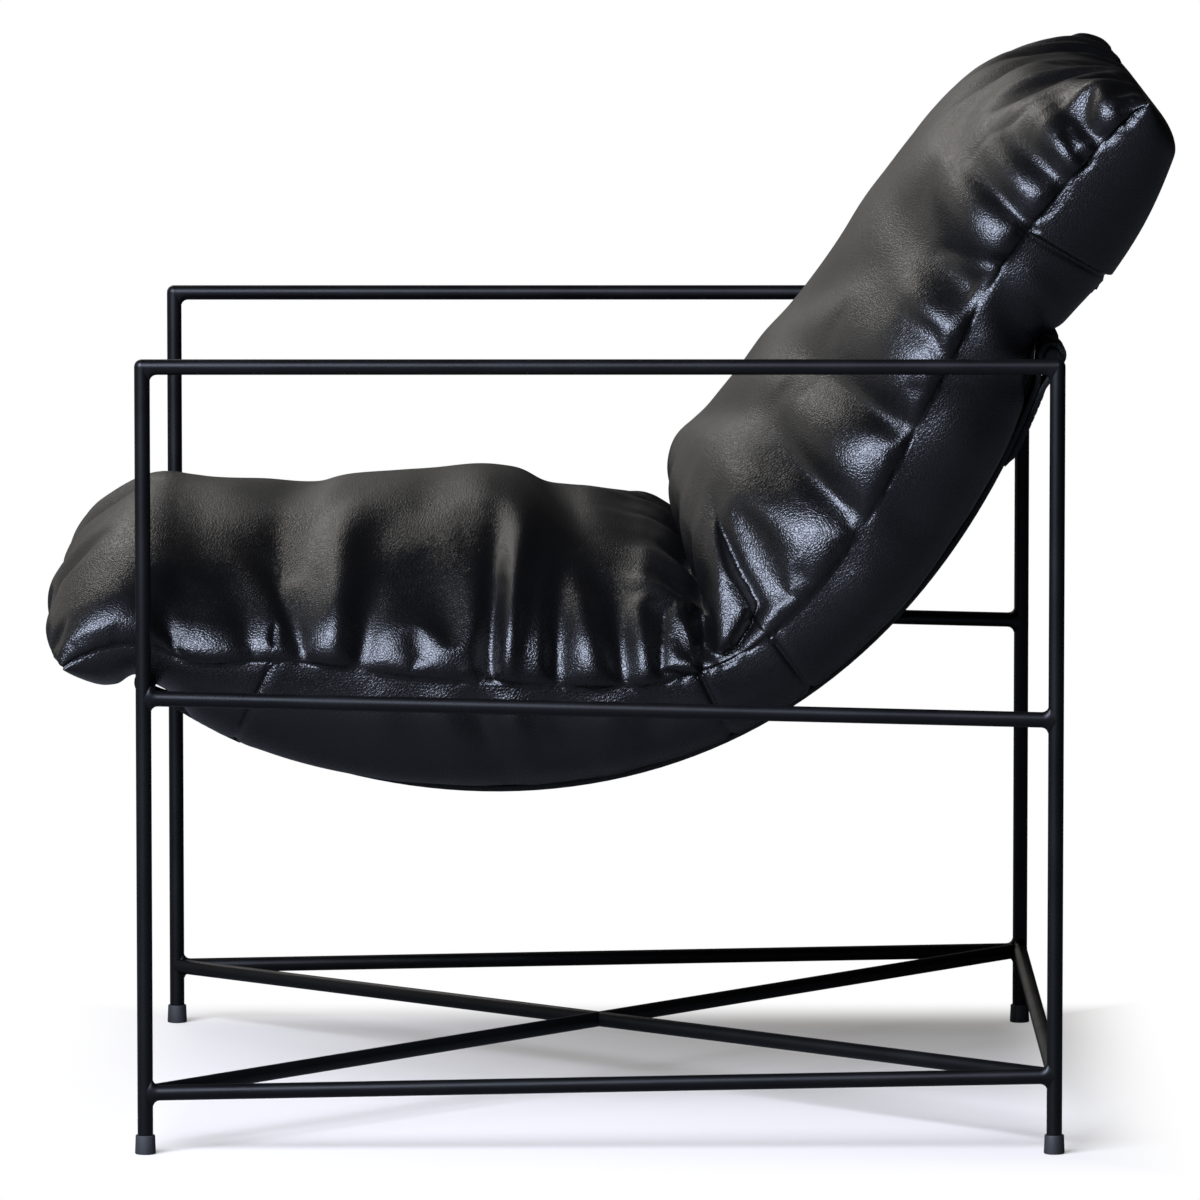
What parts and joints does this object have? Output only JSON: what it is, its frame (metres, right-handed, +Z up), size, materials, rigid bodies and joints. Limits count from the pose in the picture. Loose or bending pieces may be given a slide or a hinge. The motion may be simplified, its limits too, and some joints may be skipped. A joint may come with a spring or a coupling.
{
  "type": "sling lounge chair",
  "caption": "Low lounge armchair: a square welded rod frame with open arms and a crossed base, leather straps slung front to back, and one long pillow cushion for seat and back.",
  "frame": {"origin": "on the floor, under the middle of the chair's box", "axes": "+X runs from the front of the seat to the back, +Y to the sitter's right, +Z up"},
  "size_m": [0.8779, 0.6962, 0.834],
  "materials": {
    "frame_black": "satin",
    "foot_rubber": "matte",
    "strap_leather": "satin",
    "cushion_leather": "gloss",
    "zip_tape": "matte",
    "wadding": "matte"
  },
  "bodies": {
    "frame": {"leg_front_left": "frame_black", "leg_front_right": "frame_black", "leg_rear_left": "frame_black", "leg_rear_right": "frame_black", "armrest_left": "frame_black", "armrest_right": "frame_black", "seat_rail_left": "frame_black", "seat_rail_right": "frame_black", "low_rail_left": "frame_black", "low_rail_right": "frame_black", "front_strap_bar": "frame_black", "rear_strap_bar": "frame_black", "rear_low_rail": "frame_black", "brace_whole": "frame_black", "brace_half_front": "frame_black", "brace_half_rear": "frame_black", "foot_cap_front_left": "foot_rubber", "foot_cap_front_right": "foot_rubber", "foot_cap_rear_left": "foot_rubber", "foot_cap_rear_right": "foot_rubber", "sling_strap_1": "strap_leather", "sling_strap_2": "strap_leather", "sling_strap_3": "strap_leather", "sling_strap_4": "strap_leather"},
    "cushion": {"cushion_top_panel": "cushion_leather", "cushion_under_front": "cushion_leather", "cushion_under_seat": "cushion_leather", "cushion_under_bend": "cushion_leather", "cushion_under_back": "cushion_leather", "cushion_under_head": "cushion_leather", "cushion_zip": "zip_tape", "cushion_fill": "wadding"}
  },
  "joints": [
    {"name": "cushion_lift", "type": "slide", "parent": "frame", "child": "cushion", "axis": [0, 0, 1], "range_m": [0, 0.5]}
  ]
}
